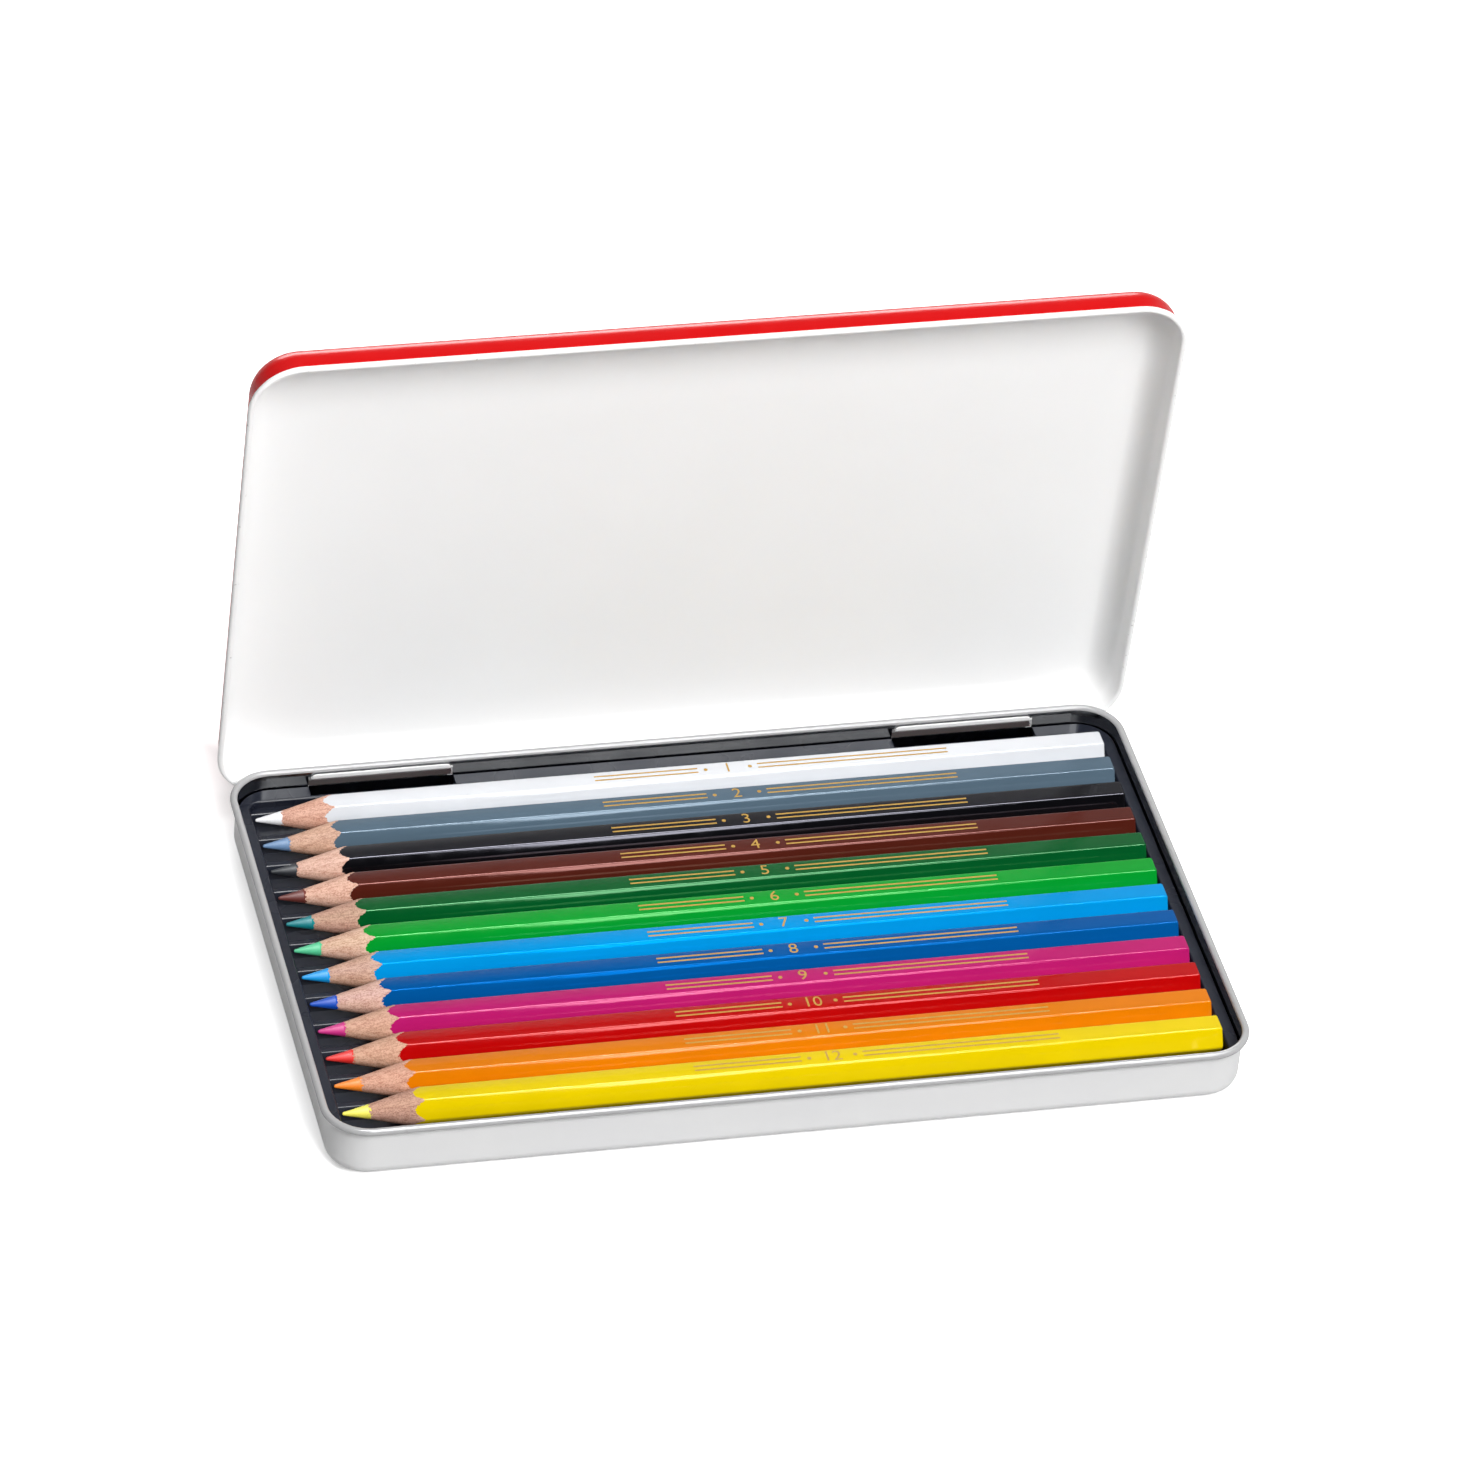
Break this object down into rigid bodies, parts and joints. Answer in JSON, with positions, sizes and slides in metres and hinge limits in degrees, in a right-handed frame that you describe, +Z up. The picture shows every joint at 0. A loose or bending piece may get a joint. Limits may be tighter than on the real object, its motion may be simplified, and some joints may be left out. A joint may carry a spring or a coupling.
{
  "type": "pencil set in a hinged tin",
  "caption": "Flat hinged metal tin with curled rims, open, holding a row of sharpened six-sided watercolor pencils in a grooved black inlay.",
  "frame": {"origin": "centre of the tray's flat underside", "axes": "+X along the pencils towards their dipped ends, +Y towards the hinge, +Z up"},
  "size_m": [0.1882, 0.1205, 0.1214],
  "materials": {
    "tray_lacquer": "gloss",
    "inlay_plastic": "satin",
    "lid_lacquer": "gloss",
    "casing_white": "gloss",
    "core_white": "matte",
    "casing_blue_grey": "gloss",
    "core_blue_grey": "matte",
    "casing_black": "gloss",
    "core_black": "matte",
    "casing_brown": "gloss",
    "core_brown": "matte",
    "casing_dark_green": "gloss",
    "core_dark_green": "matte",
    "casing_light_green": "gloss",
    "core_light_green": "matte",
    "casing_light_blue": "gloss",
    "core_light_blue": "matte",
    "casing_dark_blue": "gloss",
    "core_dark_blue": "matte",
    "casing_magenta": "gloss",
    "core_magenta": "matte",
    "casing_red": "gloss",
    "core_red": "matte",
    "casing_orange": "gloss",
    "core_orange": "matte",
    "casing_yellow": "gloss",
    "core_yellow": "matte"
  },
  "bodies": {
    "tray": {"base_tray": "tray_lacquer", "inlay_tray": "inlay_plastic"},
    "lid": {"lid": "lid_lacquer"},
    "pencil_white": {"pencil_white_casing": "casing_white", "pencil_white_lead": "core_white"},
    "pencil_blue_grey": {"pencil_blue_grey_casing": "casing_blue_grey", "pencil_blue_grey_lead": "core_blue_grey"},
    "pencil_black": {"pencil_black_casing": "casing_black", "pencil_black_lead": "core_black"},
    "pencil_brown": {"pencil_brown_casing": "casing_brown", "pencil_brown_lead": "core_brown"},
    "pencil_dark_green": {"pencil_dark_green_casing": "casing_dark_green", "pencil_dark_green_lead": "core_dark_green"},
    "pencil_light_green": {"pencil_light_green_casing": "casing_light_green", "pencil_light_green_lead": "core_light_green"},
    "pencil_light_blue": {"pencil_light_blue_casing": "casing_light_blue", "pencil_light_blue_lead": "core_light_blue"},
    "pencil_dark_blue": {"pencil_dark_blue_casing": "casing_dark_blue", "pencil_dark_blue_lead": "core_dark_blue"},
    "pencil_magenta": {"pencil_magenta_casing": "casing_magenta", "pencil_magenta_lead": "core_magenta"},
    "pencil_red": {"pencil_red_casing": "casing_red", "pencil_red_lead": "core_red"},
    "pencil_orange": {"pencil_orange_casing": "casing_orange", "pencil_orange_lead": "core_orange"},
    "pencil_yellow": {"pencil_yellow_casing": "casing_yellow", "pencil_yellow_lead": "core_yellow"}
  },
  "joints": [
    {"name": "lid_hinge", "type": "hinge", "parent": "tray", "child": "lid", "pos_m": [0, 0.0562, 0.0083], "axis": [-1, 0, 0], "range_deg": [-83.5, 0]},
    {"name": "pencil_white_lift", "type": "slide", "parent": "tray", "child": "pencil_white", "axis": [0, 0, 1], "range_m": [0, 0.05]},
    {"name": "pencil_blue_grey_lift", "type": "slide", "parent": "tray", "child": "pencil_blue_grey", "axis": [0, 0, 1], "range_m": [0, 0.05]},
    {"name": "pencil_black_lift", "type": "slide", "parent": "tray", "child": "pencil_black", "axis": [0, 0, 1], "range_m": [0, 0.05]},
    {"name": "pencil_brown_lift", "type": "slide", "parent": "tray", "child": "pencil_brown", "axis": [0, 0, 1], "range_m": [0, 0.05]},
    {"name": "pencil_dark_green_lift", "type": "slide", "parent": "tray", "child": "pencil_dark_green", "axis": [0, 0, 1], "range_m": [0, 0.05]},
    {"name": "pencil_light_green_lift", "type": "slide", "parent": "tray", "child": "pencil_light_green", "axis": [0, 0, 1], "range_m": [0, 0.05]},
    {"name": "pencil_light_blue_lift", "type": "slide", "parent": "tray", "child": "pencil_light_blue", "axis": [0, 0, 1], "range_m": [0, 0.05]},
    {"name": "pencil_dark_blue_lift", "type": "slide", "parent": "tray", "child": "pencil_dark_blue", "axis": [0, 0, 1], "range_m": [0, 0.05]},
    {"name": "pencil_magenta_lift", "type": "slide", "parent": "tray", "child": "pencil_magenta", "axis": [0, 0, 1], "range_m": [0, 0.05]},
    {"name": "pencil_red_lift", "type": "slide", "parent": "tray", "child": "pencil_red", "axis": [0, 0, 1], "range_m": [0, 0.05]},
    {"name": "pencil_orange_lift", "type": "slide", "parent": "tray", "child": "pencil_orange", "axis": [0, 0, 1], "range_m": [0, 0.05]},
    {"name": "pencil_yellow_lift", "type": "slide", "parent": "tray", "child": "pencil_yellow", "axis": [0, 0, 1], "range_m": [0, 0.05]}
  ]
}
